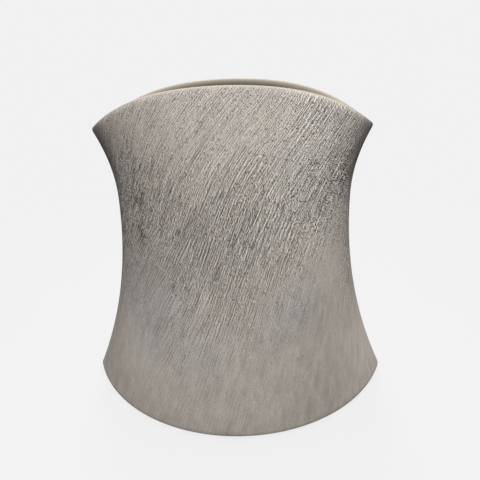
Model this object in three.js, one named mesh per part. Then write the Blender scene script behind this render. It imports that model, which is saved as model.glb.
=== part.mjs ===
// Concrete vase: two brushed half shells bonded along upright side ridges, a floor slab let in
// from below, and a lift-out water liner. Millimetres, +Z up, the front looks towards -Y, and
// the origin lies on the table under the middle of the vase.

import * as THREE from "three";

// Outer form
const HEIGHT = 250; // crown of the rim above the table
const CORNER_HEIGHT = 221; // rim above the table at the two side ridges
const RIM_WIDTH = 208; // across the ridges at the rim corners
const WAIST_WIDTH = 181; // across the ridges at the narrowest place
const WAIST_HEIGHT = 168; // narrowest place above the table
const BASE_WIDTH = 258; // across the ridges at the base
const BASE_DEPTH = 174; // front to back at the base
const MOUTH_DEPTH = 64; // front to back over both lips at the crown
const RIDGE_RADIUS = 14; // rounding of each ridge, seen from above
const ARCH_SQUARENESS = 0.45; // share of the rim's fall that gathers near the corners

// Shell walls and seams
const WALL = 8;
const BASE_ARRIS = 2; // rounding of the outer bottom edge
const BOND_GAP = 0.3; // mortar or adhesive line between bonded pieces
const TONGUE_WIDTH = 3;
const TONGUE_LENGTH = 4;
const TONGUE_END_SETBACK = 20; // from each end of the seam to the end of its tongue
const LEAST_TIP_RADIUS = 1; // sharpest inner corner that the mould leaves

// Floor
const FOOT_THICKNESS = 2;
const FOOT_DIAMETER = 20;
const FOOT_EDGE_INSET = 30; // from the outside of the vase to a foot's centre
const SLAB_THICKNESS = 12;
const REBATE_DEPTH = 4; // step cut into the wall that the slab bears against
const COVE_SIZE = 8;

// Seam beads
const BEAD_WIDTH = 14;
const BEAD_SETDOWN = 24; // from the rim corner down to the top of a bead

// Water liner
const LINER_WALL = 1.6;
const LINER_CLEARANCE = 3; // between the liner's rim flange and the narrowest throat
const LINER_FLANGE = 2.5; // width that the rim flange stands out
const LINER_FLANGE_HEIGHT = 3;
const LINER_DRAFT = 2; // how much each side draws in towards the foot
const LINER_TIP_RADIUS = 6;
const LINER_FOOT_CHAMFER = 2;
const LINER_SETDOWN = 14; // from the rim corner down to the liner's rim
const RECESS_DEPTH = 3; // pocket in the slab that locates the liner's foot
const RECESS_CLEARANCE = 1;

// Facets
const ARC_COLUMNS = 22; // along one curved face
const RIDGE_COLUMNS = 4; // round one half of a ridge
const OUTER_ROWS = 16;
const INNER_ROWS = 12;
const LIP_STEPS = 8;
const COVE_STEPS = 3;
const BEAD_ROWS = 20;
const BEAD_STEPS = 6; // along one half of a bead's curved back
const FOOT_SIDES = 24;
const RIM_PASSES = 60; // refinements of the rim height on one column

const FRONT = -1;
const REAR = 1;
const LEFT = -1;
const RIGHT = 1;
const COLUMNS = ARC_COLUMNS + 2 * RIDGE_COLUMNS;

// Levels that follow from the sizes above
const BASE_LEVEL = FOOT_THICKNESS + BOND_GAP;
const SLAB_TOP = BASE_LEVEL + SLAB_THICKNESS;
const FLOOR_LEVEL = SLAB_TOP + BOND_GAP;
const LINER_FOOT = SLAB_TOP - RECESS_DEPTH + BOND_GAP;
const LINER_RIM = CORNER_HEIGHT - LINER_SETDOWN;

const LINER_HALF_WIDTH = WAIST_WIDTH / 2 - WALL - LINER_CLEARANCE - LINER_FLANGE;
const LINER_HALF_DEPTH = MOUTH_DEPTH / 2 - WALL - LINER_CLEARANCE - LINER_FLANGE;

// Outer half-width at a height: a hollow curve that is narrowest at the waist.
function sideHalfWidth(height) {
  const above = height > WAIST_HEIGHT;
  const endWidth = above ? RIM_WIDTH : BASE_WIDTH;
  const endHeight = above ? CORNER_HEIGHT : BASE_LEVEL;
  const share = (height - WAIST_HEIGHT) / (endHeight - WAIST_HEIGHT);
  return (WAIST_WIDTH + (endWidth - WAIST_WIDTH) * share ** 2) / 2;
}

// Outer half-depth at a height: upright at the base, leaning in towards the mouth.
function faceHalfDepth(height) {
  const share = (height - BASE_LEVEL) / (HEIGHT - BASE_LEVEL);
  return (BASE_DEPTH + (MOUTH_DEPTH - BASE_DEPTH) * share ** 2) / 2;
}

// Height of the rim's crest at a distance from the middle: an arch, highest in the middle.
function rimHeight(x) {
  const share = x / (RIM_WIDTH / 2 - WALL / 2);
  const fall = (1 - ARCH_SQUARENESS) * share ** 2 + ARCH_SQUARENESS * share ** 4;
  return HEIGHT - (HEIGHT - CORNER_HEIGHT) * fall;
}

// Plan of the vase: a lens of two arcs whose two tips are rounded.
class RoundedLens {
  constructor(halfWidth, halfDepth, tipRadius) {
    this.tipRadius = tipRadius;
    this.coreWidth = halfWidth - tipRadius;
    this.coreDepth = halfDepth - tipRadius;
    this.arcRadius = (this.coreWidth ** 2 + this.coreDepth ** 2) / (2 * this.coreDepth);
    this.tipAngle = 2 * Math.atan2(this.coreDepth, this.coreWidth);
  }

  // Point where the outline faces `angle` away from straight ahead.
  at(angle, face) {
    const arcAngle = THREE.MathUtils.clamp(angle, -this.tipAngle, this.tipAngle);
    const x = this.arcRadius * Math.sin(arcAngle) + this.tipRadius * Math.sin(angle);
    const y = this.arcRadius * Math.cos(arcAngle) - this.arcRadius + this.coreDepth;
    return new THREE.Vector2(x, face * (y + this.tipRadius * Math.cos(angle)));
  }

  // Facing angle of one of the columns that every piece of the vase shares.
  columnAngle(column) {
    const fromMiddle = Math.abs(column - COLUMNS / 2);
    const side = Math.sign(column - COLUMNS / 2);
    if (fromMiddle <= ARC_COLUMNS / 2) return (side * this.tipAngle * fromMiddle) / (ARC_COLUMNS / 2);
    const roundTip = (fromMiddle - ARC_COLUMNS / 2) / RIDGE_COLUMNS;
    return side * (this.tipAngle + (Math.PI / 2 - this.tipAngle) * roundTip);
  }

  // Facing angle at which the outline lies `offset` in front of the line through both tips.
  angleAtDepth(offset) {
    const onTip = this.tipRadius * Math.cos(this.tipAngle);
    if (offset < onTip) return Math.acos(offset / this.tipRadius);
    return Math.acos((offset + this.arcRadius - this.coreDepth) / (this.arcRadius + this.tipRadius));
  }

  // The whole outline at one height, front columns first and then the rear ones back again.
  ring(height) {
    const points = [];
    for (let step = 0; step < 2 * COLUMNS; step += 1) {
      const face = step < COLUMNS ? FRONT : REAR;
      const column = step < COLUMNS ? step : 2 * COLUMNS - step;
      const point = this.at(this.columnAngle(column), face);
      points.push(new THREE.Vector3(point.x, point.y, height));
    }
    return points;
  }
}

// Plan of the vase at a height, drawn in from the outside by `inset`.
function vasePlan(height, inset) {
  const tipRadius = Math.max(RIDGE_RADIUS - inset, LEAST_TIP_RADIUS);
  return new RoundedLens(sideHalfWidth(height) - inset, faceHalfDepth(height) - inset, tipRadius);
}

// Point on a column of the vase, `inset` inside its outer face.
function wallPoint(column, height, inset, face) {
  const plan = vasePlan(height, inset);
  const point = plan.at(plan.columnAngle(column), face);
  return new THREE.Vector3(point.x, point.y, height);
}

// Solid skinned over rings of points. An open loft is capped on its first and last ring.
function loft(rings, { closed = false, capAxes = ["x", "y"] } = {}) {
  const count = rings[0].length;
  const positions = rings.flat().flatMap((point) => point.toArray());
  const triangles = [];
  const spans = closed ? rings.length : rings.length - 1;
  for (let span = 0; span < spans; span += 1) {
    const here = span * count;
    const next = ((span + 1) % rings.length) * count;
    for (let i = 0; i < count; i += 1) {
      const j = (i + 1) % count;
      triangles.push([here + i, here + j, next + j], [here + i, next + j, next + i]);
    }
  }
  if (!closed) {
    triangles.push(...capTriangles(rings[0], capAxes, 0, false));
    triangles.push(...capTriangles(rings.at(-1), capAxes, (rings.length - 1) * count, true));
  }
  return outwardGeometry(positions, triangles);
}

// Flat cap over a ring, wound with the ring or against it.
function capTriangles(ring, [first, second], start, along) {
  const contour = ring.map((point) => new THREE.Vector2(point[first], point[second]));
  const ringIsClockwise = THREE.ShapeUtils.isClockWise(contour);
  return THREE.ShapeUtils.triangulateShape(contour, []).map((corners) => {
    const [a, b, c] = corners.map((corner) => contour[corner]);
    const cornersAreClockwise = THREE.ShapeUtils.isClockWise([a, b, c]);
    const follows = cornersAreClockwise === ringIsClockwise;
    const ordered = follows === along ? corners : [...corners].reverse();
    return ordered.map((corner) => start + corner);
  });
}

// Indexed geometry whose faces point out of the solid.
function outwardGeometry(positions, triangles) {
  const corner = (index) => new THREE.Vector3().fromArray(positions, index * 3);
  let volume = 0;
  for (const [a, b, c] of triangles) {
    volume += corner(a).dot(corner(b).cross(corner(c)));
  }
  const faces = volume > 0 ? triangles : triangles.map(([a, b, c]) => [a, c, b]);
  const geometry = new THREE.BufferGeometry();
  geometry.setAttribute("position", new THREE.Float32BufferAttribute(positions, 3));
  geometry.setIndex(faces.flat());
  geometry.computeVertexNormals();
  return geometry;
}

// Crest height of the rim on one column, where the column meets the arch.
function columnRimHeight(column) {
  let height = CORNER_HEIGHT;
  for (let pass = 0; pass < RIM_PASSES; pass += 1) {
    const crest = wallPoint(column, height, WALL / 2, FRONT);
    height = (height + rimHeight(crest.x)) / 2;
  }
  return height;
}

// Section through the wall below a crest height: up the outside, over the round lip, down the
// inside to the rebate and back along the bottom. `across` runs from 0 outside to 1 inside.
function wallSection(crest) {
  const section = [];
  const lipRadius = WALL / 2;
  const springing = crest - lipRadius;
  const wallFoot = BASE_LEVEL + BASE_ARRIS;
  const arrisMiddle = BASE_ARRIS * (1 - Math.SQRT1_2);
  section.push({ inset: BASE_ARRIS, height: BASE_LEVEL, across: 0.2 });
  section.push({ inset: arrisMiddle, height: BASE_LEVEL + arrisMiddle, across: 0.1 });
  for (let row = 0; row < OUTER_ROWS; row += 1) {
    const height = THREE.MathUtils.lerp(wallFoot, springing, row / OUTER_ROWS);
    section.push({ inset: 0, height, across: 0 });
  }
  for (let step = 0; step <= LIP_STEPS; step += 1) {
    const turn = (Math.PI * step) / LIP_STEPS;
    const inset = lipRadius * (1 - Math.cos(turn));
    section.push({ inset, height: springing + lipRadius * Math.sin(turn), across: inset / WALL });
  }
  for (let row = 1; row <= INNER_ROWS; row += 1) {
    const height = THREE.MathUtils.lerp(springing, FLOOR_LEVEL, row / INNER_ROWS);
    section.push({ inset: WALL, height, across: 1 });
  }
  section.push({ inset: WALL - REBATE_DEPTH, height: FLOOR_LEVEL, across: 0.9 });
  section.push({ inset: WALL - REBATE_DEPTH, height: BASE_LEVEL, across: 0.8 });
  return section;
}

// Narrow copy of the seam face that a tongue or groove starts from, at depth `y`.
function seamRing(side, width, endSetback, y) {
  const middle = (BASE_LEVEL + CORNER_HEIGHT) / 2;
  const shrink = 1 - (2 * endSetback) / (CORNER_HEIGHT - BASE_LEVEL);
  return wallSection(CORNER_HEIGHT).map(({ height, across }) => {
    const level = middle + (height - middle) * shrink;
    const inset = WALL / 2 + (across - 1 / 2) * width;
    return new THREE.Vector3(side * (sideHalfWidth(level) - inset), y, level);
  });
}

// Half shell, whose seam faces carry tongues on the front half and grooves on the rear half.
function halfShell(face) {
  const seamY = (face * BOND_GAP) / 2;
  const clearance = face === FRONT ? 0 : BOND_GAP;
  const keyWidth = TONGUE_WIDTH + 2 * clearance;
  const keySetback = TONGUE_END_SETBACK - clearance;
  const keyEnds = (side) => [
    seamRing(side, keyWidth, keySetback, seamY + TONGUE_LENGTH),
    seamRing(side, keyWidth, keySetback, seamY),
  ];
  const columns = [];
  for (let column = 0; column <= COLUMNS; column += 1) {
    const section = wallSection(columnRimHeight(column));
    columns.push(section.map(({ inset, height }) => {
      const point = wallPoint(column, height, inset, face);
      point.y += seamY;
      return point;
    }));
  }
  const rings = [...keyEnds(LEFT), ...columns, ...keyEnds(RIGHT).reverse()];
  return loft(rings, { capAxes: ["x", "z"] });
}

// Bead of bonding mortar that fills the inside of one ridge.
function seamBead(side) {
  const foot = FLOOR_LEVEL + COVE_SIZE + BOND_GAP;
  const top = CORNER_HEIGHT - BEAD_SETDOWN;
  const rings = [];
  for (let row = 0; row <= BEAD_ROWS; row += 1) {
    const height = THREE.MathUtils.lerp(foot, top, row / BEAD_ROWS);
    const plan = vasePlan(height, WALL + BOND_GAP);
    const edgeAngle = plan.angleAtDepth(BEAD_WIDTH / 2);
    const ring = [];
    for (let step = -BEAD_STEPS; step <= BEAD_STEPS; step += 1) {
      const angle = THREE.MathUtils.lerp(Math.PI / 2, edgeAngle, Math.abs(step) / BEAD_STEPS);
      const point = plan.at(side * angle, step < 0 ? FRONT : REAR);
      ring.push(new THREE.Vector3(point.x, point.y, height));
    }
    rings.push(ring);
  }
  return loft(rings);
}

// Floor slab, with a pocket in its top that locates the liner.
function baseSlab() {
  const edgeInset = WALL - REBATE_DEPTH + BOND_GAP;
  const pocket = new RoundedLens(
    LINER_HALF_WIDTH - LINER_DRAFT + RECESS_CLEARANCE,
    LINER_HALF_DEPTH - LINER_DRAFT + RECESS_CLEARANCE,
    LINER_TIP_RADIUS,
  );
  return loft([
    vasePlan(BASE_LEVEL, edgeInset).ring(BASE_LEVEL),
    vasePlan(SLAB_TOP, edgeInset).ring(SLAB_TOP),
    pocket.ring(SLAB_TOP),
    pocket.ring(SLAB_TOP - RECESS_DEPTH),
  ]);
}

// Hollow fillet of mortar round the floor.
function floorCove() {
  const wallInset = WALL + BOND_GAP;
  const section = [{ inset: wallInset, height: FLOOR_LEVEL }];
  for (let step = 0; step <= COVE_STEPS; step += 1) {
    const turn = (Math.PI / 2) * (step / COVE_STEPS);
    const inset = wallInset + COVE_SIZE * (1 - Math.cos(turn));
    section.push({ inset, height: FLOOR_LEVEL + COVE_SIZE * (1 - Math.sin(turn)) });
  }
  const outlines = section.map(({ inset, height }) => vasePlan(height, inset).ring(height));
  const rings = outlines[0].map((_, step) => outlines.map((outline) => outline[step]));
  return loft(rings, { closed: true });
}

// Open-topped liner with a rim flange and a chamfered foot.
function waterLiner() {
  const outline = (height, grow) => {
    const draft = (LINER_DRAFT * (LINER_RIM - height)) / (LINER_RIM - LINER_FOOT);
    const halfWidth = LINER_HALF_WIDTH - draft + grow;
    const halfDepth = LINER_HALF_DEPTH - draft + grow;
    return new RoundedLens(halfWidth, halfDepth, LINER_TIP_RADIUS + grow).ring(height);
  };
  const underFlange = LINER_RIM - LINER_FLANGE_HEIGHT;
  const floor = LINER_FOOT + LINER_WALL;
  return loft([
    outline(LINER_FOOT, -LINER_FOOT_CHAMFER),
    outline(LINER_FOOT + LINER_FOOT_CHAMFER, 0),
    outline(underFlange, 0),
    outline(underFlange, LINER_FLANGE),
    outline(LINER_RIM, LINER_FLANGE),
    outline(LINER_RIM, -LINER_WALL),
    outline(floor + LINER_FOOT_CHAMFER, -LINER_WALL),
    outline(floor, -LINER_WALL - LINER_FOOT_CHAMFER),
  ]);
}

// Flat rubber disc under the slab, stood on the table.
function rubberFoot() {
  const radius = FOOT_DIAMETER / 2;
  const disc = new THREE.CylinderGeometry(radius, radius, FOOT_THICKNESS, FOOT_SIDES);
  return disc.rotateX(Math.PI / 2).translate(0, 0, FOOT_THICKNESS / 2);
}

const concrete = { color: 0x9b958d, roughness: 0.92, metalness: 0 };
const mortar = { color: 0x8a857d, roughness: 0.95, metalness: 0 };
const rubber = { color: 0x2b2a29, roughness: 0.8, metalness: 0 };
const linerPlastic = { color: 0x3c3e3f, roughness: 0.45, metalness: 0 };

const vase = new THREE.Group();
vase.name = "concrete_vase";

function addPiece(name, geometry, finish) {
  const piece = new THREE.Mesh(geometry, new THREE.MeshStandardMaterial(finish));
  piece.name = name;
  vase.add(piece);
  return piece;
}

addPiece("front_shell", halfShell(FRONT), concrete);
addPiece("rear_shell", halfShell(REAR), concrete);
addPiece("seam_bead_left", seamBead(LEFT), mortar);
addPiece("seam_bead_right", seamBead(RIGHT), mortar);
addPiece("base_slab", baseSlab(), concrete);
addPiece("floor_cove", floorCove(), mortar);
addPiece("water_liner", waterLiner(), linerPlastic);

// Feet sit half-way along each arc, under the slab.
for (const [faceName, face] of [["front", FRONT], ["rear", REAR]]) {
  for (const [sideName, side] of [["left", LEFT], ["right", RIGHT]]) {
    const foot = addPiece(`foot_${faceName}_${sideName}`, rubberFoot(), rubber);
    const column = COLUMNS / 2 + (side * ARC_COLUMNS) / 4;
    const centre = wallPoint(column, BASE_LEVEL, FOOT_EDGE_INSET, face);
    foot.position.set(centre.x, centre.y, 0);
  }
}

export default vase;
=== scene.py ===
"""Looks of the concrete vase: brushed half shells, floor, water liner, feet, studio and camera."""

import logging
import math
from collections.abc import Mapping
from dataclasses import dataclass, field
from enum import Enum

import bpy
import numpy as np
from bpy.types import Material, Mesh, Node, NodeSocket, NodeTree, Object, World
from mathutils import Matrix, Vector


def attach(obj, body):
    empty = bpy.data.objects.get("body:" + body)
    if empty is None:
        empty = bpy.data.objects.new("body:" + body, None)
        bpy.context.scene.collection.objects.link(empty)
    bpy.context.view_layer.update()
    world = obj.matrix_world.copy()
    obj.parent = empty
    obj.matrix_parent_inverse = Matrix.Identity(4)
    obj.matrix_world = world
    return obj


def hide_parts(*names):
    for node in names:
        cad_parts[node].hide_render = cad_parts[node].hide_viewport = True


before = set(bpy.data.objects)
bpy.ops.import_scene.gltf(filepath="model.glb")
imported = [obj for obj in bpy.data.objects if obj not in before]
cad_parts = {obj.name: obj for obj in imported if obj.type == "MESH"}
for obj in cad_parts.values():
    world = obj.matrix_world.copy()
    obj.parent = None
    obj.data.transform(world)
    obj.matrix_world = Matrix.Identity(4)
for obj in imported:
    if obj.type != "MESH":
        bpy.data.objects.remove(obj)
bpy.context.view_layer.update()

LOG = logging.getLogger("vase")
MM = 0.001
WELD = 0.01 * MM  # points of one piece that are nearer than this become one
CREASE = math.radians(40)  # sharper edges than this stay sharp
ARRIS_ROWS = 2  # rows of a wall section on its eased bottom edge
LIP_TOP = 0.5  # share of the turn over the lip at which it is highest
NOISE_MEAN = 0.5  # mean of Blender's noise texture

# Colour sockets of a mix node, which repeats its socket names for every kind of data
FIRST, SECOND, MIXED = 6, 7, 2

# Large odd numbers that scatter neighbouring lattice points, and the levels of their noise
SCATTER_COLUMN, SCATTER_ROW, SCATTER_SEED = 374761393, 668265263, 974634777
SCATTER_AGAIN = 1274126177
SCATTER_SHIFTS = (13, 16)
NOISE_LEVELS = 0xFFFF

Span = tuple[float, float]
Leans = tuple[Span, ...]  # height, and sideways run of a stroke for each unit of rise
# Distance from the middle of a face, height and radius of a spot in millimetres, and its strength
Spots = tuple[tuple[float, float, float, float], ...]
Marks = Mapping[str, NodeSocket]  # stroke attributes of a shell


class Face(Enum):
    """Which half of the vase a shell is, as the sign of its depth."""

    FRONT = -1
    REAR = 1


class Side(Enum):
    """Which side of the vase a piece is on, as the sign of its width."""

    LEFT = -1
    RIGHT = 1


class Body(Enum):
    """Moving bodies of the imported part."""

    VASE = "vase"
    LINER = "liner"


class Slot(Enum):
    """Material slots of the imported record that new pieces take."""

    BRUSHED_CONCRETE = "brushed_concrete"
    FOOT_RUBBER = "foot_rubber"
    LINER_PLASTIC = "liner_plastic"


def linear(hex_colour: str) -> tuple[float, float, float, float]:
    """Turns an sRGB colour into the linear colour that shaders take.

    Args:
        hex_colour: Six hexadecimal digits.

    Returns:
        Linear red, green and blue, and an alpha of one.
    """
    channels = [int(hex_colour[start:start + 2], 16) / 255 for start in (0, 2, 4)]
    steep = [((c + 0.055) / 1.055) ** 2.4 if c > 0.04045 else c / 12.92 for c in channels]
    return (*steep, 1.0)


def add_node(
    tree: NodeTree,
    kind: str,
    inputs: Mapping[str | int, object] | None = None,
    **settings: object,
) -> Node:
    """Adds a shader node, sets it up and links its inputs.

    Args:
        tree: Node tree that the node joins.
        kind: Blender's name of the node type, which follows the word ShaderNode.
        inputs: Value or output socket for each input, by name or number.
        **settings: Properties of the node.

    Returns:
        The new node.
    """
    node = tree.nodes.new(f"ShaderNode{kind}")
    for name, value in settings.items():
        setattr(node, name, value)
    for key, value in (inputs or {}).items():
        if isinstance(value, NodeSocket):
            tree.links.new(value, node.inputs[key])
        else:
            node.inputs[key].default_value = value
    return node


def empty_tree(owner: Material | World) -> NodeTree:
    """Gives a material or a world a node tree without nodes.

    Args:
        owner: New material or world.

    Returns:
        Its node tree.
    """
    owner.use_nodes = True
    owner.node_tree.nodes.clear()
    return owner.node_tree


def new_material(name: str, roughness: float, ior: float) -> tuple[Material, NodeTree, Node]:
    """Makes a material that holds only a principled shader and its output.

    Args:
        name: Name of the material.
        roughness: Roughness of the surface, from 0 to 1.
        ior: Refractive index of the material, none of which is metal.

    Returns:
        The material, its node tree and its principled shader.
    """
    material = bpy.data.materials.new(name)
    tree = empty_tree(material)
    shader = add_node(tree, "BsdfPrincipled", {
        "Roughness": roughness, "IOR": ior, "Metallic": 0.0,
    })
    add_node(tree, "OutputMaterial", {"Surface": shader.outputs["BSDF"]})
    return material, tree, shader


def ease(value: np.ndarray, start: float, end: float) -> np.ndarray:
    """Smooth step from 0 at `start` to 1 at `end`.

    Args:
        value: Numbers to ease.
        start: Where the step begins.
        end: Where the step is complete, above or below `start`.

    Returns:
        Eased shares from 0 to 1.
    """
    share = np.clip((value - start) / (end - start), 0.0, 1.0)
    return share * share * (3 - 2 * share)


def lattice_noise(u: np.ndarray, v: np.ndarray, seed: int) -> np.ndarray:
    """Smooth noise over a plane, the same on every run.

    Args:
        u: First coordinate, one unit to a bump.
        v: Second coordinate, one unit to a bump.
        seed: Picks one pattern out of many.

    Returns:
        Noise from -1 to 1 at each point.
    """
    column = np.floor(u).astype(np.int64)
    row = np.floor(v).astype(np.int64)

    def corner(right: int, up: int) -> np.ndarray:
        """Finds the noise at a corner of each point's lattice square.

        Args:
            right: 0 for a left corner and 1 for a right one.
            up: 0 for a lower corner and 1 for an upper one.

        Returns:
            Noise from -1 to 1 at that corner.
        """
        key = (column + right) * SCATTER_COLUMN + (row + up) * SCATTER_ROW + seed * SCATTER_SEED
        key = (key ^ (key >> SCATTER_SHIFTS[0])) * SCATTER_AGAIN
        return ((key ^ (key >> SCATTER_SHIFTS[1])) & NOISE_LEVELS) / (NOISE_LEVELS / 2) - 1.0

    across = ease(u - column, 0.0, 1.0)
    along = ease(v - row, 0.0, 1.0)
    low = corner(0, 0) * (1 - across) + corner(1, 0) * across
    high = corner(0, 1) * (1 - across) + corner(1, 1) * across
    return low * (1 - along) + high * along


def soft_spots(lane: np.ndarray, z: np.ndarray, spots: Spots) -> np.ndarray:
    """Adds up round spots that fade out softly.

    Args:
        lane: Distance along the wall from its middle.
        z: Height.
        spots: Places, sizes and strengths of the spots.

    Returns:
        Sum of the spots at each point.
    """
    total = np.zeros_like(z)
    for *sizes, strength in spots:
        middle, height, radius = (size * MM for size in sizes)
        total += strength * np.exp(-((lane - middle) ** 2 + (z - height) ** 2) / radius**2)
    return total


def lens_point(
    column: np.ndarray, half_width: np.ndarray, half_depth: np.ndarray, tip: np.ndarray,
    arc_share: float,
) -> tuple[np.ndarray, np.ndarray, np.ndarray, np.ndarray]:
    """Finds a point on a plan of two arcs whose two tips are rounded.

    Args:
        column: Place across the face, from -1 at the left tip to 1 at the right.
        half_width: Half of the plan's width.
        half_depth: Half of the plan's depth.
        tip: Radius of the tips.
        arc_share: Share of the columns that lie on the arc and not on a tip.

    Returns:
        Width, depth, facing angle, and length along the outline from the middle.
    """
    core_width = half_width - tip
    core_depth = half_depth - tip
    radius = (core_width**2 + core_depth**2) / (2 * core_depth)
    tip_angle = 2 * np.arctan2(core_depth, core_width)
    share = np.abs(column)
    on_tip = np.clip((share - arc_share) / (1 - arc_share), 0, 1)
    turn = np.where(
        share <= arc_share,
        tip_angle * share / arc_share,
        tip_angle + (math.pi / 2 - tip_angle) * on_tip,
    )
    angle = np.sign(column) * turn
    arc_angle = np.clip(angle, -tip_angle, tip_angle)
    x = radius * np.sin(arc_angle) + tip * np.sin(angle)
    depth = radius * (np.cos(arc_angle) - 1) + core_depth + tip * np.cos(angle)
    return x, depth, angle, radius * arc_angle + tip * angle


def new_grid(name: str, columns: int, rows: int) -> tuple[Object, np.ndarray, np.ndarray]:
    """Adds a flat grid that is then wrapped round a piece.

    Args:
        name: Name of the piece.
        columns: Steps across the piece.
        rows: Steps along its wall section.

    Returns:
        The grid, and for each of its points the place across, from -1 to 1, and the row's number.
    """
    bpy.ops.object.select_all(action="DESELECT")
    bpy.ops.mesh.primitive_grid_add(x_subdivisions=columns, y_subdivisions=rows, size=2.0)
    piece = bpy.context.object
    piece.name = name
    flat = np.empty(len(piece.data.vertices) * 3)
    piece.data.vertices.foreach_get("co", flat)
    grid = flat.reshape(-1, 3)
    return piece, grid[:, 0], np.rint((grid[:, 1] + 1) / 2 * rows).astype(int)


def wrap_grid(mesh: Mesh, x: np.ndarray, y: np.ndarray, z: np.ndarray) -> None:
    """Wraps the active grid, welds its meeting edges, closes its open ends and shades it.

    Args:
        mesh: Mesh of the grid.
        x: Width of each point.
        y: Depth of each point.
        z: Height of each point.
    """
    mesh.vertices.foreach_set("co", np.stack([x, y, z], axis=1).ravel())
    mesh.update()
    bpy.ops.object.mode_set(mode="EDIT")
    bpy.ops.mesh.select_all(action="SELECT")
    bpy.ops.mesh.remove_doubles(threshold=WELD)
    bpy.ops.mesh.fill_holes(sides=0)
    bpy.ops.mesh.select_all(action="SELECT")
    bpy.ops.mesh.normals_make_consistent(inside=False)
    bpy.ops.object.mode_set(mode="OBJECT")
    bpy.ops.object.shade_smooth_by_angle(angle=CREASE)


def settle(piece: Object, body: Body, material: Material) -> None:
    """Gives a finished piece its material and its place among the moving bodies.

    Args:
        piece: Finished piece, at the origin and unturned.
        body: Body that the piece moves with.
        material: Finish of the whole piece.
    """
    piece.data.materials.clear()
    piece.data.materials.append(material)
    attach(piece, body.value)
    size = ", ".join(f"{length / MM:.1f}" for length in piece.dimensions)
    LOG.info("%s: %d faces, %s mm", piece.name, len(piece.data.polygons), size)


@dataclass(frozen=True)
class WallRows:
    """Rows of a wall section, from the bottom edge up the outside and down the inside."""

    inset: np.ndarray  # depth inside the outer face
    low: np.ndarray  # height at which the row's part of the wall starts
    share: np.ndarray  # share of the way from there up to where the lip rounds over
    lift: np.ndarray  # rise above that place, on the rounded lip

    def heights(self, springing: np.ndarray) -> np.ndarray:
        """Height of every row on every column.

        Args:
            springing: Height on each column where the lip starts to round over.

        Returns:
            Heights by row and column.
        """
        low = self.low[:, None]
        return low + self.share[:, None] * (springing[None, :] - low) + self.lift[:, None]


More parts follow.
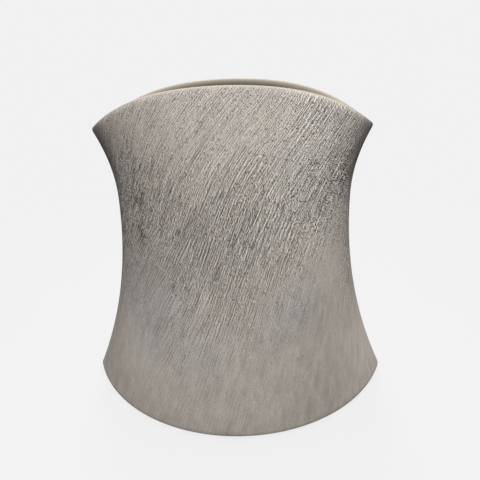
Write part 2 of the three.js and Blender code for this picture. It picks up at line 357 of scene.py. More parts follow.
@dataclass(frozen=True)
class VaseForm:
    """Form of the vase, in metres, as the CAD part has it."""

    height: float = 250 * MM
    corner_height: float = 221 * MM
    rim_width: float = 208 * MM
    waist_width: float = 181 * MM
    waist_height: float = 168 * MM
    base_width: float = 258 * MM
    base_depth: float = 174 * MM
    mouth_depth: float = 64 * MM
    ridge_radius: float = 14 * MM
    arch_squareness: float = 0.45  # share of the rim's fall that gathers near the corners
    wall: float = 8 * MM
    base_arris: float = 2 * MM
    base_level: float = 2.3 * MM  # underside of the shells, on the feet
    floor_level: float = 14.6 * MM  # top of the rebate that takes the floor slab
    rebate_depth: float = 4 * MM
    least_tip_radius: float = 1 * MM
    bond_line: float = 0.004 * MM  # gap between the shells, too fine for light to show through
    arc_share: float = 0.9  # share of the columns that lie on the face and not on a ridge
    rim_passes: int = 60  # passes that settle where a column meets the arched rim

    def side_half_width(self, z: np.ndarray) -> np.ndarray:
        """Finds the outer half-width: a hollow curve that is narrowest at the waist.

        Args:
            z: Heights.

        Returns:
            Half-widths at those heights.
        """
        above = z > self.waist_height
        end_width = np.where(above, self.rim_width, self.base_width)
        end_height = np.where(above, self.corner_height, self.base_level)
        share = (z - self.waist_height) / (end_height - self.waist_height)
        return (self.waist_width + (end_width - self.waist_width) * share**2) / 2

    def face_half_depth(self, z: np.ndarray) -> np.ndarray:
        """Outer half-depth at a height: upright at the base, leaning in to the mouth."""
        share = (z - self.base_level) / (self.height - self.base_level)
        return (self.base_depth + (self.mouth_depth - self.base_depth) * share**2) / 2

    def rim_height(self, x: np.ndarray) -> np.ndarray:
        """Finds the arched crest of the rim.

        Args:
            x: Distances from the middle of the vase.

        Returns:
            Heights of the crest there.
        """
        share = x / (self.rim_width / 2 - self.wall / 2)
        fall = (1 - self.arch_squareness) * share**2 + self.arch_squareness * share**4
        return self.height - (self.height - self.corner_height) * fall

    def wall_point(
        self, column: np.ndarray, z: np.ndarray, inset: np.ndarray
    ) -> tuple[np.ndarray, np.ndarray, np.ndarray, np.ndarray]:
        """Finds a point of the wall.

        Args:
            column: Place across the face, from -1 at the left ridge to 1 at the right.
            z: Height.
            inset: Depth inside the outer face.

        Returns:
            Width, depth, facing angle, and length along the arc from the middle.
        """
        tip = np.maximum(self.ridge_radius - inset, self.least_tip_radius)
        return lens_point(
            column,
            self.side_half_width(z) - inset,
            self.face_half_depth(z) - inset,
            tip,
            self.arc_share,
        )

    def crest(self, column: np.ndarray) -> np.ndarray:
        """Finds where the columns of a face meet the arched rim.

        Args:
            column: Places across the face, from -1 at the left ridge to 1 at the right.

        Returns:
            Height of the rim's crest on each column.
        """
        height = np.full_like(column, self.corner_height)
        for _ in range(self.rim_passes):
            x = self.wall_point(column, height, np.full_like(column, self.wall / 2))[0]
            height = (height + self.rim_height(x)) / 2
        return height

    def wall_rows(self, outer: np.ndarray, lip_steps: int, inner_rows: int) -> WallRows:
        """Lays out the rows of the wall section. The last row closes on the first.

        Args:
            outer: Share of the outside's height at each of its rows.
            lip_steps: Steps over the rounded lip.
            inner_rows: Rows down the inside.

        Returns:
            The rows.
        """
        lip = self.wall / 2
        arris = self.base_arris
        eased = arris * (1 - math.cos(math.pi / 4))  # halfway round the eased edge
        base, floor = self.base_level, self.floor_level
        rows = [(arris, base, 0.0, 0.0), (eased, base + eased, 0.0, 0.0)]
        rows += [(0.0, base + arris, share, 0.0) for share in outer]
        for step in range(lip_steps + 1):
            turn = math.pi * step / lip_steps
            rows.append((lip * (1 - math.cos(turn)), floor, 1.0, lip * math.sin(turn)))
        for row in range(1, inner_rows + 1):
            rows.append((self.wall, floor, 1 - row / inner_rows, 0.0))
        rebate = self.wall - self.rebate_depth
        rows += [(rebate, floor, 0.0, 0.0), (rebate, base, 0.0, 0.0), (arris, base, 0.0, 0.0)]
        return WallRows(*np.array(rows).T)


@dataclass(frozen=True)
class BrushMarks:
    """Marks of a coarse brush drawn through the wet face, in metres."""

    depth: float = 0.75 * MM
    # How far the strokes lean in the middle of the face and at its sides
    leans: Leans = (
        (0 * MM, 0.18),
        (80 * MM, 0.33),
        (150 * MM, 0.37),
        (180 * MM, 0.44),
        (200 * MM, 0.66),
        (222 * MM, 0.86),
        (250 * MM, 0.94),
    )
    side_leans: Leans = (
        (0 * MM, 0.23),
        (80 * MM, 0.42),
        (120 * MM, 0.62),
        (180 * MM, 0.72),
        (205 * MM, 0.62),
        (250 * MM, 0.56),
    )
    calm_height: float = 55 * MM
    rough_height: float = 155 * MM
    crown_height: float = 228 * MM
    calm_share: float = 0.16
    crown_share: float = 0.42
    # Where the strokes are deeper and shallower
    dug_places: Spots = (
        (66, 202, 45, 0.75),
        (58, 236, 18, 0.70),
        (-12, 244, 25, 0.35),
        (-60, 176, 36, 0.32),
        (80, 124, 42, -0.60),
        (-62, 118, 36, -0.55),
        (5, 45, 40, 0.40),
        (-85, 55, 40, -0.40),
        (90, 60, 40, -0.25),
    )
    face_half: float = 80 * MM  # distance from the middle at which the side leans hold
    side_limit: float = 2.0  # farther out, the change of lean levels off at this many times
    drift_steps: int = 400
    wander: float = 16 * MM  # how far the border of the rough band strays up and down
    wander_size: Span = (40 * MM, 60 * MM)
    patch_share: float = 0.12  # how much the depth differs from patch to patch
    patch_size: Span = (18 * MM, 26 * MM)
    stagger: float = 3.0  # how far neighbouring strokes start apart, in stroke lengths
    stagger_scale: float = 0.9
    seed: int = 11
    seed_step: int = 10
    # Width, length and share of each size of stroke
    strokes: tuple[tuple[float, float, float], ...] = (
        (1.3 * MM, 22 * MM, 0.12),
        (0.8 * MM, 9 * MM, 0.50),
        (0.7 * MM, 4 * MM, 0.60),
    )

    def across(self, lane: np.ndarray, z: np.ndarray) -> np.ndarray:
        """Finds places across the strokes, which lean over more towards the top of the vase.

        Args:
            lane: Distance along the wall from its middle.
            z: Height.

        Returns:
            Distance across the strokes, which is the same all along a stroke.
        """
        middle, sides = (self._drift(leans, z) for leans in (self.leans, self.side_leans))
        out = (lane / self.face_half) ** 2
        share = self.side_limit * out / (self.side_limit - 1 + out)
        return lane - middle - (sides - middle) * share

    def _drift(self, leans: Leans, z: np.ndarray) -> np.ndarray:
        """Finds how far a stroke has drifted sideways at each height.

        Args:
            leans: Sideways run for each unit of rise, by height.
            z: Heights.

        Returns:
            Drift from where the stroke crosses the roughest height.
        """
        heights, runs = np.array(leans).T
        steps = np.linspace(heights[0], heights[-1], self.drift_steps)
        run = np.interp(steps, heights, runs)
        drift = np.concatenate([[0], np.cumsum((run[1:] + run[:-1]) / 2 * np.diff(steps))])
        return np.interp(z, steps, drift) - np.interp(self.rough_height, steps, drift)

    def roughness(self, lane: np.ndarray, z: np.ndarray) -> np.ndarray:
        """Finds how deep the strokes are: deepest round the waist, calm near the base.

        Args:
            lane: Distance along the wall from its middle.
            z: Height.

        Returns:
            Share of the full stroke depth.
        """
        wide, tall = self.wander_size
        level = z + self.wander * lattice_noise(lane / wide, z / tall, self.seed)
        rise = ease(level, self.calm_height, self.rough_height)
        fall = ease(level, self.rough_height, self.crown_height)
        share = self.calm_share + (1 - self.calm_share) * rise - (1 - self.crown_share) * fall
        wide, tall = self.patch_size
        share *= 1 + self.patch_share * lattice_noise(lane / wide, z / tall, self.seed + 1)
        return share * (1 + soft_spots(lane, z, self.dug_places))

    def relief(self, across: np.ndarray, z: np.ndarray) -> np.ndarray:
        """Adds up strokes of several sizes.

        Args:
            across: Distance across the strokes.
            z: Height.

        Returns:
            Height of the brushed face, from about -1 in a groove to 1 on a ridge.
        """
        total = np.zeros_like(across)
        for number, (width, length, share) in enumerate(self.strokes):
            seed = self.seed + self.seed_step * (number + 1)
            start_seed = seed + self.seed_step // 2
            lane = across / width
            start = lattice_noise(lane * self.stagger_scale, np.zeros_like(z), start_seed)
            stagger = self.stagger * start
            left, middle, right = (
                lattice_noise(lane + side, z / length + stagger, seed) for side in (-1, 0, 1)
            )
            total += share * (middle - (left + right) / 2)
        return total


@dataclass(frozen=True)
class StrokeLayer:
    """Noise stretched along the strokes, in metres, and how much it lightens the face."""

    width: float
    length: float
    weight: float
    line_width: float = 0.0  # noise level that a thin line spans, or 0 for plain noise


@dataclass(frozen=True)
class BrushedConcrete:
    """Grey concrete, brushed while wet, with its lip and its inside painted darker as shade.

    A coarse brush drags the wet cement skin aside and opens pits and sand grains. The eye sees pale
    ridges beside dark grooves, dark pits and pale specks, cool cement bloom in cloudy patches, and
    no shine, because the skin scatters light.
    """

    # Colours of the face low down and where it is brushed, its grooves, its lip and its inside; the
    # lip's and the inside's colours are painted shade
    calm: str = "b2a9a0"
    brushed: str = "aea79d"
    groove: str = "5c5853"
    # painted shade: darker than the face, to hold back the light from above on the lip's upward
    # face
    lip: str = "8b837b"
    # painted shade of the hollow inside
    inside: str = "767063"
    # Cloudy patches of cement bloom, drawn out upright
    bloom: str = "a9aaab"
    bloom_size: float = 18 * MM
    patch_stretch: float = 2.5
    bloom_start: float = 0.46
    bloom_end: float = 0.66
    bloom_share: float = 0.16
    patch_detail: float = 2.0
    # How pale the face is, from 0 in a groove to 1 on a clean ridge, and what changes that
    base_tone: float = 0.618
    # negative, so the brushed band is darker: partly its own colour, partly painted shade of its
    # rough texture
    stroke_paling: float = -0.07
    # pales the relief's ridges and darkens its grooves: partly the brushed skin's colour, partly
    # painted shade
    relief_weight: float = 0.25
    mottle_size: float = 7 * MM
    mottle_heights: Span = (85 * MM, 150 * MM)
    mottle_weight: float = 0.52
    mottle_rest: float = 0.12
    mottle_detail: float = 3.0
    mottle_roughness: float = 0.65
    crumb_size: float = 0.8 * MM  # coarser than fine sand is, so that it shows
    crumb_weight: float = 40.0
    crumb_power: float = 3.0  # leaves only the strongest crumbs
    least_texture: float = 0.06
    flat_ridge: float = 0.35  # level at which the pale ridges flatten
    # Pits and specks, by their cells and by how rough the face is where pits open; the pits'
    # darkness in the tone is partly painted shade
    pit_spacing: float = 1.9 * MM
    pit_reach: Span = (0.10, 0.36)
    pit_texture: Span = (0.22, 0.60)
    pit_weight: float = -1.9
    pit_share: float = 0.16
    speck_weight: float = 1.3
    speck_share: float = 0.15
    # Cool tint of single grains, stronger where the face is rough
    tint: str = "a3a6aa"
    tint_size: float = 4 * MM
    tint_range: Span = (0.35, 0.65)
    tint_shares: Span = (0.06, 0.32)
    # Broad runs, then the fine pattern's bristle lines, grain, scratches and pale threads. Real
    # grain is finer than half a millimetre, and this one is drawn coarser so that it shows.
    runs: StrokeLayer = StrokeLayer(5 * MM, 30 * MM, 0.13)
    layers: tuple[StrokeLayer, ...] = (
        StrokeLayer(0.75 * MM, 14 * MM, 1.7),
        StrokeLayer(0.55 * MM, 0.9 * MM, 2.1),
        StrokeLayer(1.60 * MM, 34 * MM, -0.60, 0.05),
        StrokeLayer(1.80 * MM, 28 * MM, 0.35, 0.05),
    )
    bump_depth: float = 0.35 * MM
    # Dry cement is about 1.5, and its rough skin leaves hardly any of the mirror reflection
    specular: float = 0.05
    roughness: float = 0.92
    ior: float = 1.5

    def material(self) -> Material:
        """Builds the material.

        Returns:
            A material that follows the stroke attributes of a shell.
        """
        material, tree, shader = new_material("brushed_concrete", self.roughness, self.ior)
        marks = {
            name: add_node(tree, "Attribute", attribute_name=name).outputs["Fac"]
            for name in (
                "across", "along", "relief", "roughness", "texture",
                "tone_and_painted_shade", "bloom", "lip", "inside",
            )
        }
        place = add_node(tree, "TexCoord").outputs["Object"]
        upright = add_node(tree, "VectorMath", {
            0: place, 1: (1.0, 1.0, 1 / self.patch_stretch),
        }, operation="MULTIPLY").outputs["Vector"]
        detail = self._detail(tree, marks, place)
        tone = self._tone(tree, marks, detail, upright)
        patches = add_node(tree, "TexNoise", {
            "Vector": upright, "Scale": 1 / self.bloom_size, "Detail": self.patch_detail,
        })
        patchy = add_node(tree, "MapRange", {
            "Value": patches.outputs["Fac"],
            "From Min": self.bloom_start, "From Max": self.bloom_end, "To Max": self.bloom_share,
        })
        bloom = add_node(tree, "Math", {0: patchy.outputs["Result"], 1: marks["bloom"]})
        tints = add_node(tree, "TexNoise", {
            "Vector": place, "Scale": 1 / self.tint_size, "Detail": self.patch_detail,
        })
        tint_share = add_node(tree, "MapRange", {
            "Value": marks["roughness"],
            "To Min": self.tint_shares[0], "To Max": self.tint_shares[1],
        })
        tinted = add_node(tree, "MapRange", {
            "Value": tints.outputs["Fac"],
            "From Min": self.tint_range[0], "From Max": self.tint_range[1],
            "To Max": tint_share.outputs["Result"],
        })
        colour = linear(self.calm)
        for share, first, second in (
            (marks["roughness"], None, self.brushed),
            (bloom.outputs[0], None, self.bloom),
            (tinted.outputs["Result"], None, self.tint),
            (tone, self.groove, None),
            (marks["inside"], None, self.inside),
            (marks["lip"], None, self.lip),
        ):
            colour = add_node(tree, "Mix", {
                "Factor": share,
                FIRST: linear(first) if first else colour,
                SECOND: linear(second) if second else colour,
            }, data_type="RGBA").outputs[MIXED]
        tree.links.new(colour, shader.inputs["Base Color"])
        shader.inputs["Specular IOR Level"].default_value = self.specular
        bump = add_node(tree, "Bump", {
            "Strength": marks["texture"], "Distance": self.bump_depth, "Height": detail,
        })
        tree.links.new(bump.outputs["Normal"], shader.inputs["Normal"])
        return material

    def _stroke_noise(self, tree: NodeTree, marks: Marks, layer: StrokeLayer) -> NodeSocket:
        """Adds noise that is stretched along the brush strokes.

        Args:
            tree: Node tree of the material.
            marks: Stroke attributes of the shell.
            layer: Sizes of the noise.

        Returns:
            The noise less its mean on both sides, or thin lines from 0 to 1 where they are equal.
        """
        along = add_node(tree, "Math", {
            0: marks["along"], 1: 1 / layer.length,
        }, operation="MULTIPLY")
        left, middle, right = (
            add_node(tree, "TexNoise", {
                "Vector": add_node(tree, "CombineXYZ", {
                    "X": add_node(tree, "Math", {
                        0: marks["across"], 1: 1 / layer.width, 2: bump,
                    }, operation="MULTIPLY_ADD").outputs[0],
                    "Y": along.outputs[0],
                    "Z": layer.length / layer.width,
                }).outputs[0],
                "Scale": 1.0,
                "Detail": 0.0,
            }).outputs["Fac"]
            for bump in (-1.0, 0.0, 1.0)
        )
        sides = add_node(tree, "Math", {0: left, 1: right})
        ridge = add_node(tree, "Math", {
            0: sides.outputs[0], 1: -0.5, 2: middle,
        }, operation="MULTIPLY_ADD")
        if not layer.line_width:
            return ridge.outputs[0]
        away = add_node(tree, "Math", {0: ridge.outputs[0]}, operation="ABSOLUTE")
        return add_node(tree, "MapRange", {
            "Value": away.outputs[0], "From Max": layer.line_width, "To Min": 1.0, "To Max": 0.0,
        }).outputs["Result"]

    def _detail(self, tree: NodeTree, marks: Marks, place: NodeSocket) -> NodeSocket:
        """Adds up the fine pattern: bristle lines, scratches, grain, crumbs, pits and specks.

        Args:
            tree: Node tree of the material.
            marks: Stroke attributes of the shell.
            place: Object coordinates.

        Returns:
            Height of the fine pattern, below 0 in grooves and pits.
        """
        crumb = add_node(tree, "TexNoise", {
            "Vector": place, "Scale": 1 / self.crumb_size, "Detail": 0.0,
        })
        centred = add_node(tree, "Math", {
            0: crumb.outputs["Fac"], 1: NOISE_MEAN,
        }, operation="SUBTRACT")
        strongest = add_node(tree, "Math", {
            0: centred.outputs[0], 1: self.crumb_power,
        }, operation="POWER")
        total = add_node(tree, "Math", {
            0: strongest.outputs[0], 1: self.crumb_weight,
        }, operation="MULTIPLY").outputs[0]
        for layer in self.layers:
            total = add_node(tree, "Math", {
                0: self._stroke_noise(tree, marks, layer), 1: layer.weight, 2: total,
            }, operation="MULTIPLY_ADD").outputs[0]
        total = add_node(tree, "Math", {
            0: total, 1: self.flat_ridge, 2: self.flat_ridge,
        }, operation="SMOOTH_MIN").outputs[0]
        cells = add_node(tree, "TexVoronoi", {
            "Vector": place, "Scale": 1 / self.pit_spacing,
        })
        spot = add_node(tree, "MapRange", {
            "Value": cells.outputs["Distance"],
            "From Min": self.pit_reach[0], "From Max": self.pit_reach[1],
            "To Min": 1.0, "To Max": 0.0,
        })
        chance = add_node(tree, "SeparateColor", {"Color": cells.outputs["Color"]})
        opened = add_node(tree, "MapRange", {
            "Value": marks["texture"],
            "From Min": self.pit_texture[0], "From Max": self.pit_texture[1],
            "To Max": self.pit_weight,
        })
        for number, weight, part in (
            (0, opened.outputs["Result"], self.pit_share),
            (1, self.speck_weight, self.speck_share),
        ):
            chosen = add_node(tree, "Math", {
                0: chance.outputs[number], 1: part,
            }, operation="LESS_THAN")
            depth = add_node(tree, "Math", {
                0: chosen.outputs[0], 1: weight,
            }, operation="MULTIPLY")
            total = add_node(tree, "Math", {
                0: spot.outputs["Result"], 1: depth.outputs[0], 2: total,
            }, operation="MULTIPLY_ADD").outputs[0]
        return total

    def _tone(
        self, tree: NodeTree, marks: Marks, detail: NodeSocket, upright: NodeSocket
    ) -> NodeSocket:
        """Adds up how pale the face is: pale on ridges, dark in grooves and pits, partly as painted
        shade.

        Args:
            tree: Node tree of the material.
            marks: Stroke attributes of the shell.
            detail: Height of the fine pattern.
            upright: Object coordinates, drawn out upright.

        Returns:
            Share of the pale colour over the groove's colour.
        """
        mottle = add_node(tree, "TexNoise", {
            "Vector": upright, "Scale": 1 / self.mottle_size,
            "Detail": self.mottle_detail, "Roughness": self.mottle_roughness,
        })
        cloud = add_node(tree, "Math", {
            0: mottle.outputs["Fac"], 1: NOISE_MEAN,
        }, operation="SUBTRACT")
        cloudiness = add_node(tree, "MapRange", {
            "Value": marks["along"],
            "From Min": self.mottle_heights[0], "From Max": self.mottle_heights[1],
            "To Min": self.mottle_weight, "To Max": self.mottle_rest,
        })
        strength = add_node(tree, "Math", {0: marks["texture"], 1: self.least_texture})
        total = add_node(tree, "Math", {
            0: marks["tone_and_painted_shade"], 1: self.base_tone,
        }).outputs[0]
        # The relief and the fine pattern's height also set the tone, so their grooves and pits are
        # painted darker: partly their own colour, partly painted shade.
        for value, weight in (
            (marks["roughness"], self.stroke_paling),
            (cloud.outputs[0], cloudiness.outputs["Result"]),
            (marks["relief"], self.relief_weight),
            (self._stroke_noise(tree, marks, self.runs), self.runs.weight),
            (detail, strength.outputs[0]),
        ):
            total = add_node(tree, "Math", {
                0: value, 1: weight, 2: total,
            }, operation="MULTIPLY_ADD").outputs[0]
        return total


@dataclass(frozen=True)
class SpeckledFinish:
    """Plain finish with a faint speckle, for the pieces that don't carry brush marks."""

    name: str
    pale: str
    dark: str
    speckle_size: float
    bump_depth: float
    roughness: float
    ior: float
    speckle_detail: float = 4.0

    def material(self) -> Material:
        """Builds the material.

        Returns:
            A material that reads object coordinates.
        """
        material, tree, shader = new_material(self.name, self.roughness, self.ior)
        place = add_node(tree, "TexCoord").outputs["Object"]
        speckle = add_node(tree, "TexNoise", {
            "Vector": place, "Scale": 1 / self.speckle_size, "Detail": self.speckle_detail,
        })
        colour = add_node(tree, "Mix", {
            "Factor": speckle.outputs["Fac"],
            FIRST: linear(self.dark), SECOND: linear(self.pale),
        }, data_type="RGBA")
        tree.links.new(colour.outputs[MIXED], shader.inputs["Base Color"])
        bump = add_node(tree, "Bump", {
            "Distance": self.bump_depth, "Height": speckle.outputs["Fac"],
        })
        tree.links.new(bump.outputs["Normal"], shader.inputs["Normal"])
        return material


@dataclass
class HalfShell:
    """One bonded half of the vase, with brush marks on its outer face, in metres.

    The lens plan, the arched rim and the strokes follow formulas that edit tools can't give, so a
    fine grid is wrapped round the wall section.
    """

    face: Face
    form: VaseForm = field(default_factory=VaseForm)
    marks: BrushMarks = field(default_factory=BrushMarks)
    # Where the face is paler and darker: partly the concrete's own uneven tone, partly painted
    # light and shade. The dark spots at ±100 mm near 200 mm are painted shade on the upper ridges,
    # and the two at 2 and 3 mm high darken the bottom edge
    tone_and_shade_spots: Spots = (
        (-12, 178, 24, -0.08),
        (-88, 150, 42, -0.02),
        (-82, 190, 26, 0.10),
        (74, 172, 30, 0.42),
        (32, 142, 24, 0.07),
        (84, 218, 26, 0.18),
        (102, 112, 28, 0.20),
        (62, 98, 24, -0.08),
        (75, 25, 26, -0.10),
        (-50, 85, 22, -0.08),
        (-28, 105, 22, 0.10),
        (-8, 232, 42, -0.08),
        (-6, 202, 18, 0.05),
        (52, 230, 22, 0.14),
        (-62, 226, 35, -0.10),
        (10, 88, 55, -0.10),
        (-48, 125, 28, -0.10),
        (-70, 75, 20, -0.06),
        (-22, 45, 20, -0.05),
        (-88, 62, 42, 0.18),
        (95, 95, 30, -0.05),
        (150, 55, 45, 0.42),
        (-10, 12, 70, 0.14),
        (-36, 3, 9, -0.05),
        (-8, 2, 7, -0.14),
        (100, 195, 22, -0.27),
        (-62, 112, 30, -0.05),
        (8, 42, 30, 0.03),
        (28, 240, 14, -0.10),
        (56, 236, 14, 0.08),
        (-100, 205, 18, -0.12),
        (-18, 152, 20, -0.05),
    )
    # Where cement bloom gathers
    blooms: Spots = (
        (-66, 100, 36, 0.45),
        (44, 100, 24, 0.35),
        (75, 205, 36, 0.20),
        (-20, 70, 18, 0.25),
    )
    # Painted shade on the lip's rounding, which faces the light from above, and on the upper
    # ridges, which flare out and face down; by turn over the lip, column and height
    rim_painted_shade: float = 0.10
    rim_painted_shade_turn: float = 0.12
    ridge_painted_shade: float = 0.42
    ridge_shade_columns: Span = (0.76, 0.91)
    ridge_shade_heights: Span = (135 * MM, 185 * MM)
    # Where the strokes fade out at the ridges, below the crest and above the bottom edge
    fade_columns: Span = (0.80, 0.92)
    rim_fade: Span = (0.2 * MM, 1.4 * MM)
    base_fade: float = 6 * MM
    # Turns over the lip at which its band of painted shade starts and gives way to the inside
    lip_start: Span = (0.28, 0.42)
    lip_end: Span = (0.58, 0.70)
    # Grid, with coarser rows on the calm share of the height
    columns: int = 480
    calm_rows: int = 25
    brushed_rows: int = 156
    calm_share: float = 0.28
    lip_steps: int = 10
    inner_rows: int = 8

    @property
    def node(self) -> str:
        """CAD node that this shell stands for."""
        return f"{self.face.name.lower()}_shell"

    def build(self) -> Object:
        """Wraps a fine grid round the wall section and closes it into a solid.

        Returns:
            The shell.
        """
        outer = np.concatenate([
            np.linspace(0, self.calm_share, self.calm_rows, endpoint=False),
            np.linspace(self.calm_share, 1, self.brushed_rows, endpoint=False),
        ])
        rows = self.form.wall_rows(outer, self.lip_steps, self.inner_rows)
        shell, column, row = new_grid(
            f"{self.node}_brushed", self.columns, len(rows.inset) - 1
        )
        self._wrap(shell.data, rows, column, row)
        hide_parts(self.node)
        return shell

    def dress(self, shell: Object, finish: Material) -> None:
        """Gives the shell its brushed finish and lets it ride with the vase."""
        settle(shell, Body.VASE, finish)

    def _ridge_painted_shade(self, column: np.ndarray, z: np.ndarray) -> np.ndarray:
        """How much darker the ridges are painted above the waist: painted shade where they flare
        out and face down.
        """
        above_waist = ease(z, *self.ridge_shade_heights)
        return self.ridge_painted_shade * ease(np.abs(column), *self.ridge_shade_columns) * above_waist

    def _wrap(self, mesh: Mesh, rows: WallRows, column: np.ndarray, row: np.ndarray) -> None:
        """Moves the grid's points onto the shell and stores what the finish reads.

        Args:
            mesh: Mesh of the grid.
            rows: Rows of the wall section.
            column: Place of each point across the face, from -1 to 1.
            row: Number of each point's row.
        """
        places = np.linspace(-1.0, 1.0, self.columns + 1)
        springing = self.form.crest(places) - self.form.wall / 2
        index = np.rint((column + 1) / 2 * self.columns).astype(int)
        z = rows.heights(springing)[row, index]
        x, depth, angle, _ = self.form.wall_point(column, z, rows.inset[row])
        lane = self.form.wall_point(column, z, np.zeros_like(z))[3] * -self.face.value

        first_lip = ARRIS_ROWS + self.calm_rows + self.brushed_rows
        lip_turn = np.clip((row - first_lip) / self.lip_steps, 0, 1)
        outer = (lip_turn < LIP_TOP) | (row == len(rows.inset) - 1)
        across = self.marks.across(lane, z)
        roughness = self.marks.roughness(lane, z)
        relief = self.marks.relief(across, z)
        ridge_fade = 1 - ease(np.abs(column), *self.fade_columns)
        rim_fade = ease(springing[index] + self.form.wall / 2 - z, *self.rim_fade)
        base_fade = ease(z, self.form.base_level, self.form.base_level + self.base_fade)
        fade = outer * ridge_fade * rim_fade * base_fade
        push = self.marks.depth * relief * roughness * fade

        x = x + push * np.sin(angle)
        depth = depth + push * np.cos(angle)
        stored = {
            "across": across,
            "along": z,
            "relief": relief * roughness * fade,
            "roughness": roughness * outer,
            "texture": roughness * fade,
            # the face's own uneven tone, with painted light and shade in the spots, on the upper
            # ridges and on the lip's rounding
            "tone_and_painted_shade": (
                soft_spots(lane, z, self.tone_and_shade_spots)
                - self._ridge_painted_shade(column, z)
                # painted shade on the lip's rounding, which holds back the light from above
                - self.rim_painted_shade * ease(lip_turn, 0.0, self.rim_painted_shade_turn)
            ) * outer,
            "bloom": soft_spots(lane, z, self.blooms) * outer,
            "lip": ease(lip_turn, *self.lip_start) * (1 - ease(lip_turn, *self.lip_end)),
            "inside": ease(lip_turn, *self.lip_end),
        }
        for name, values in stored.items():
            attribute = mesh.attributes.new(name, "FLOAT", "POINT")
            attribute.data.foreach_set("value", values.astype(np.float32))
        wrap_grid(mesh, x, self.face.value * (depth + self.form.bond_line / 2), z)


@dataclass(frozen=True)
class WaterLiner:
    """Loose liner drawn from thin plastic sheet, with a turned-out rim, in metres."""

    node: str = "water_liner"
    foot: float = 11.6 * MM
    rim: float = 207 * MM
    half_width: float = 77 * MM
    half_depth: float = 18.5 * MM
    tip_radius: float = 6 * MM
    wall: float = 1.6 * MM
    flange: float = 2.5 * MM
    flange_height: float = 3 * MM
    draft: float = 2 * MM
    foot_radius: float = 2 * MM
    edge_radius: float = 0.6 * MM
    corner_steps: int = 5
    columns: int = 128
    arc_share: float = 0.8

    def _corner(
        self, grow: float, z: float, radius: float, start: float, end: float
    ) -> list[tuple[float, float]]:
        """Points round a corner of the wall section.

        Args:
            grow: Distance of the corner's centre outside the wall's outer face.
            z: Height of the corner's centre.
            radius: Radius of the corner.
            start: Direction of the first point in degrees, 0 outwards and 90 upwards.
            end: Direction of the last point.

        Returns:
            Distance outside the outer face and height of each point.
        """
        turns = np.radians(np.linspace(start, end, self.corner_steps + 1))
        return [(grow + radius * math.cos(t), z + radius * math.sin(t)) for t in turns]

    def _section(self) -> list[tuple[float, float]]:
        """Lays out the wall section, up the outside, over the rim and down the inside.

        Returns:
            Distance outside the outer face and height of each point.
        """
        edge, bend = self.edge_radius, self.foot_radius
        under = self.rim - self.flange_height
        floor = self.foot + self.wall
        return [
            *self._corner(-bend, self.foot + bend, bend, -90, 0),
            *self._corner(edge, under - edge, edge, 180, 90),
            *self._corner(self.flange - edge, under + edge, edge, -90, 0),
            *self._corner(self.flange - edge, self.rim - edge, edge, 0, 90),
            *self._corner(edge - self.wall, self.rim - edge, edge, 90, 180),
            *self._corner(-self.wall - bend, floor + bend, bend, 0, -90),
        ]

    def build(self) -> Object:
        """Wraps a grid round the liner's plan and closes its floor.

        Returns:
            The liner.
        """
        grow, height = np.array(self._section()).T
        liner, around, row = new_grid(f"{self.node}_drawn", 2 * self.columns, len(grow) - 1)
        # One half of the grid goes round the front and the other comes back round the rear.
        face = np.where(around < 0, Face.FRONT.value, Face.REAR.value)
        column = 1 - 2 * np.abs(around)
        z = height[row]
        outside = grow[row] - self.draft * (self.rim - z) / (self.rim - self.foot)
        x, depth, _, _ = lens_point(
            column,
            self.half_width + outside,
            self.half_depth + outside,
            self.tip_radius + grow[row],
            self.arc_share,
        )
        wrap_grid(liner.data, x, face * depth, z)
        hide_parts(self.node)
        return liner

    def dress(self, liner: Object, finish: Material) -> None:
        """Gives the liner its plastic finish and lets it move by itself."""
        settle(liner, Body.LINER, finish)


@dataclass(frozen=True)
class RubberFeet:
    """Four discs cut from rubber sheet, with eased edges, in metres."""

    form: VaseForm = field(default_factory=VaseForm)
    radius: float = 10 * MM
    thickness: float = 2 * MM
    edge: float = 0.4 * MM
    sides: int = 72
    edge_steps: int = 3
    column: float = 0.45  # place across a face that a foot stands behind
    inset: float = 30 * MM  # from the outer face to a foot's centre

    def build(self) -> list[Object]:
        """Models one disc and sets a copy of it under each quarter of the floor slab.

        Returns:
            The feet.
        """
        bpy.ops.object.select_all(action="DESELECT")
        bpy.ops.mesh.primitive_cylinder_add(
            vertices=self.sides, radius=self.radius, depth=self.thickness
        )
        disc = bpy.context.object
        bevel = disc.modifiers.new("eased_edge", "BEVEL")
        bevel.width = self.edge
        bevel.segments = self.edge_steps
        bevel.limit_method = "ANGLE"
        bpy.ops.object.modifier_apply(modifier=bevel.name)
        bpy.ops.object.shade_smooth_by_angle(angle=CREASE)
        base = np.array(self.form.base_level)
        x, depth, _, _ = self.form.wall_point(np.array(self.column), base, np.array(self.inset))
        feet = []
        for face in Face:
            for side in Side:
                foot = disc.copy()
                foot.data = disc.data.copy()
                place = (side.value * float(x), face.value * float(depth), self.thickness / 2)
                foot.data.transform(Matrix.Translation(place))
                node = f"foot_{face.name.lower()}_{side.name.lower()}"
                foot.name = f"{node}_disc"
                bpy.context.scene.collection.objects.link(foot)
                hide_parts(node)
                feet.append(foot)
        bpy.data.objects.remove(disc)
        return feet

    def dress(self, feet: list[Object], finish: Material) -> None:
        """Gives the feet their rubber finish and lets them ride with the vase."""
        for foot in feet:
            settle(foot, Body.VASE, finish)


@dataclass
class InnerPieces:
    """Floor slab, cove and seam beads, which keep their CAD solids and only take a finish."""

    finishes: Mapping[str, SpeckledFinish]

    def dress(self) -> None:
        """Gives each CAD node its material."""
        made: dict[str, Material] = {}
        for node, finish in self.finishes.items():
            if finish.name not in made:
                made[finish.name] = finish.material()
            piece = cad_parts[node]
            piece.data.materials.clear()
            piece.data.materials.append(made[finish.name])
            LOG.info("%s: CAD solid in %s", node, finish.name)


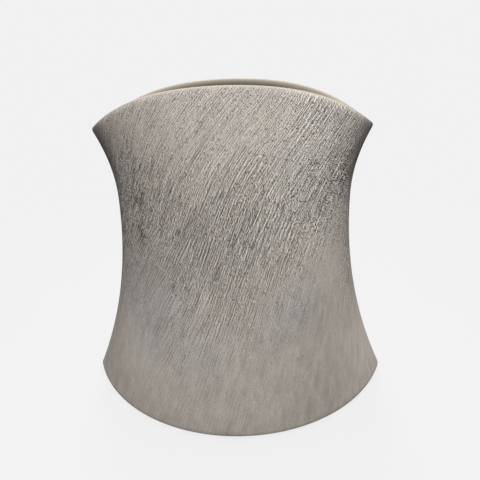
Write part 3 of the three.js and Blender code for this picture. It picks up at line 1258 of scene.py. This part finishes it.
@dataclass(frozen=True)
class PhotoCamera:
    """Where the photograph was taken from, in metres and radians."""

    place: tuple[float, float, float] = (0.0195, -0.3283, 0.2762)
    heading: float = 0.0462
    pitch: float = 0.4258
    roll: float = -0.0269
    lens_mm: float = 33.0
    sensor_mm: float = 36.0
    nearest: float = 0.01

    def build(self) -> None:
        """Adds the camera and makes it the scene's camera."""
        data = bpy.data.cameras.new("photo_camera")
        data.lens = self.lens_mm
        data.sensor_width = self.sensor_mm
        data.clip_start = self.nearest
        camera = bpy.data.objects.new("photo_camera", data)
        turn = (
            Matrix.Rotation(self.heading, 4, "Z")
            @ Matrix.Rotation(math.pi / 2 - self.pitch, 4, "X")
            @ Matrix.Rotation(self.roll, 4, "Z")
        )
        camera.matrix_world = Matrix.Translation(self.place) @ turn
        bpy.context.scene.collection.objects.link(camera)
        bpy.context.scene.camera = camera


@dataclass(frozen=True)
class SoftLight:
    """A square studio light, in metres and watts."""

    name: str
    place: tuple[float, float, float]
    aim: tuple[float, float, float]
    size: float
    watts: float

    def build(self) -> None:
        """Adds the light, turned towards what it lights."""
        data = bpy.data.lights.new(self.name, "AREA")
        data.size = self.size
        data.energy = self.watts
        light = bpy.data.objects.new(self.name, data)
        place = Vector(self.place)
        turn = (Vector(self.aim) - place).to_track_quat("-Z", "Y").to_matrix().to_4x4()
        light.matrix_world = Matrix.Translation(place) @ turn
        bpy.context.scene.collection.objects.link(light)


@dataclass(frozen=True)
class Studio:
    """Pale floor and soft light from above, in metres."""

    backdrop: str = "f1f1f1"
    floor_size: float = 8.0
    floor_gap: float = 0.1 * MM  # keeps the floor clear of the feet's undersides
    floor_grey: float = 0.12  # what the floor reflects onto the vase
    shown_grey: float = 0.42  # what the lens sees of the lit floor, beside the plain backdrop
    shadow_share: float = 0.12
    shadow_start: float = 0.1
    shadow_reach: float = 0.55
    fill_strength: float = 0.03
    lights: tuple[SoftLight, ...] = (
        SoftLight("ceiling", (0.0, -0.1, 1.5), (0.0, -0.1, 0.0), 1.0, 25.0),
        SoftLight("key", (0.10, -0.85, 1.05), (0.0, 0.0, 0.13), 0.35, 20.0),
        SoftLight("rear", (-0.10, 0.95, 0.75), (0.0, 0.0, 0.13), 0.5, 16.0),
    )

    def build(self) -> None:
        """Adds the floor, the light and the background."""
        self._floor()
        for light in self.lights:
            light.build()
        self._world()
        bpy.context.scene.view_settings.view_transform = "Standard"

    def _seen_by_lens(self, tree: NodeTree) -> NodeSocket:
        """Finds what the lens sees, straight or through a reflection or a clear piece.

        Args:
            tree: Node tree of the floor's material or of the world.

        Returns:
            Share that is 1 where the lens sees it, and 0 where it only lights other things.
        """
        path = add_node(tree, "LightPath")
        seen = add_node(tree, "Math", {
            0: path.outputs["Is Camera Ray"], 1: path.outputs["Is Glossy Ray"],
        }, operation="MAXIMUM")
        return add_node(tree, "Math", {
            0: seen.outputs[0], 1: path.outputs["Is Transmission Ray"],
        }, operation="MAXIMUM").outputs[0]

    def _floor(self) -> None:
        """Adds a floor that shows the backdrop colour and still takes a soft shadow."""
        bpy.ops.object.select_all(action="DESELECT")
        bpy.ops.mesh.primitive_plane_add(size=self.floor_size)
        floor = bpy.context.object
        floor.name = "studio_floor"
        floor.location.z = -self.floor_gap
        material = bpy.data.materials.new("studio_floor")
        tree = empty_tree(material)
        seen = self._seen_by_lens(tree)
        grey = add_node(tree, "MapRange", {
            "Value": seen, "To Min": self.floor_grey, "To Max": self.shown_grey,
        })
        matt = add_node(tree, "BsdfDiffuse", {"Color": grey.outputs["Result"]})
        plain = add_node(tree, "Emission", {"Color": linear(self.backdrop)})
        place = add_node(tree, "TexCoord").outputs["Object"]
        distance = add_node(tree, "VectorMath", {0: place}, operation="LENGTH")
        flatness = add_node(tree, "MapRange", {
            "Value": distance.outputs["Value"],
            "From Min": self.shadow_start, "From Max": self.shadow_reach,
            "To Min": 1 - self.shadow_share, "To Max": 1.0,
        })
        share = add_node(tree, "Math", {
            0: seen, 1: flatness.outputs["Result"],
        }, operation="MULTIPLY")
        mix = add_node(tree, "MixShader", {
            0: share.outputs[0], 1: matt.outputs[0], 2: plain.outputs[0],
        })
        add_node(tree, "OutputMaterial", {"Surface": mix.outputs[0]})
        floor.data.materials.append(material)

    def _world(self) -> None:
        """Sets a plain background and the weak light that it gives."""
        world = bpy.data.worlds.new("studio")
        tree = empty_tree(world)
        shown = add_node(tree, "Background", {"Color": linear(self.backdrop)})
        fill = add_node(tree, "Background", {
            "Color": linear(self.backdrop), "Strength": self.fill_strength,
        })
        mix = add_node(tree, "MixShader", {
            0: self._seen_by_lens(tree), 1: fill.outputs[0], 2: shown.outputs[0],
        })
        add_node(tree, "OutputWorld", {"Surface": mix.outputs[0]})
        bpy.context.scene.world = world


def main() -> None:
    """Builds the vase's looks, the studio and the camera."""
    logging.basicConfig(level=logging.INFO, format="%(name)s: %(message)s")
    # Concrete brushed while wet: matt grey with pale ridges, dark grooves, pits and pale specks.
    concrete = BrushedConcrete().material()
    for face in Face:
        shell = HalfShell(face)
        shell.dress(shell.build(), concrete)

    # Concrete as it left its mould: matt and plain, with faint cloudy patches.
    cast = SpeckledFinish(
        "cast_concrete", pale="a29c93", dark="7f7a72",
        speckle_size=6 * MM, bump_depth=0.2 * MM, roughness=0.9, ior=1.5,
    )
    # Mortar pressed in by hand: darker, dusty and uneven from the trowel.
    mortar = SpeckledFinish(
        "trowelled_mortar", pale="99938a", dark="757068",
        speckle_size=4 * MM, bump_depth=0.4 * MM, roughness=0.95, ior=1.5,
    )
    # Rubber discs die-cut from sheet: near black and matt, with a fine grain.
    rubber = SpeckledFinish(
        "die_cut_rubber", pale="33312f", dark="262524",
        speckle_size=1 * MM, bump_depth=0.05 * MM, roughness=0.75, ior=1.52,
    )
    # Polypropylene sheet drawn over a form: smooth dark grey with a broad satin sheen.
    plastic = SpeckledFinish(
        "vacuum_formed_polypropylene", pale="45484a", dark="3b3d3f",
        speckle_size=3 * MM, bump_depth=0.02 * MM, roughness=0.45, ior=1.49,
    )
    liner = WaterLiner()
    liner.dress(liner.build(), plastic.material())
    feet = RubberFeet()
    feet.dress(feet.build(), rubber.material())
    beads = {f"seam_bead_{side.name.lower()}": mortar for side in Side}
    InnerPieces({"base_slab": cast, "floor_cove": mortar, **beads}).dress()

    Studio().build()
    PhotoCamera().build()


if __name__ == "__main__":
    main()
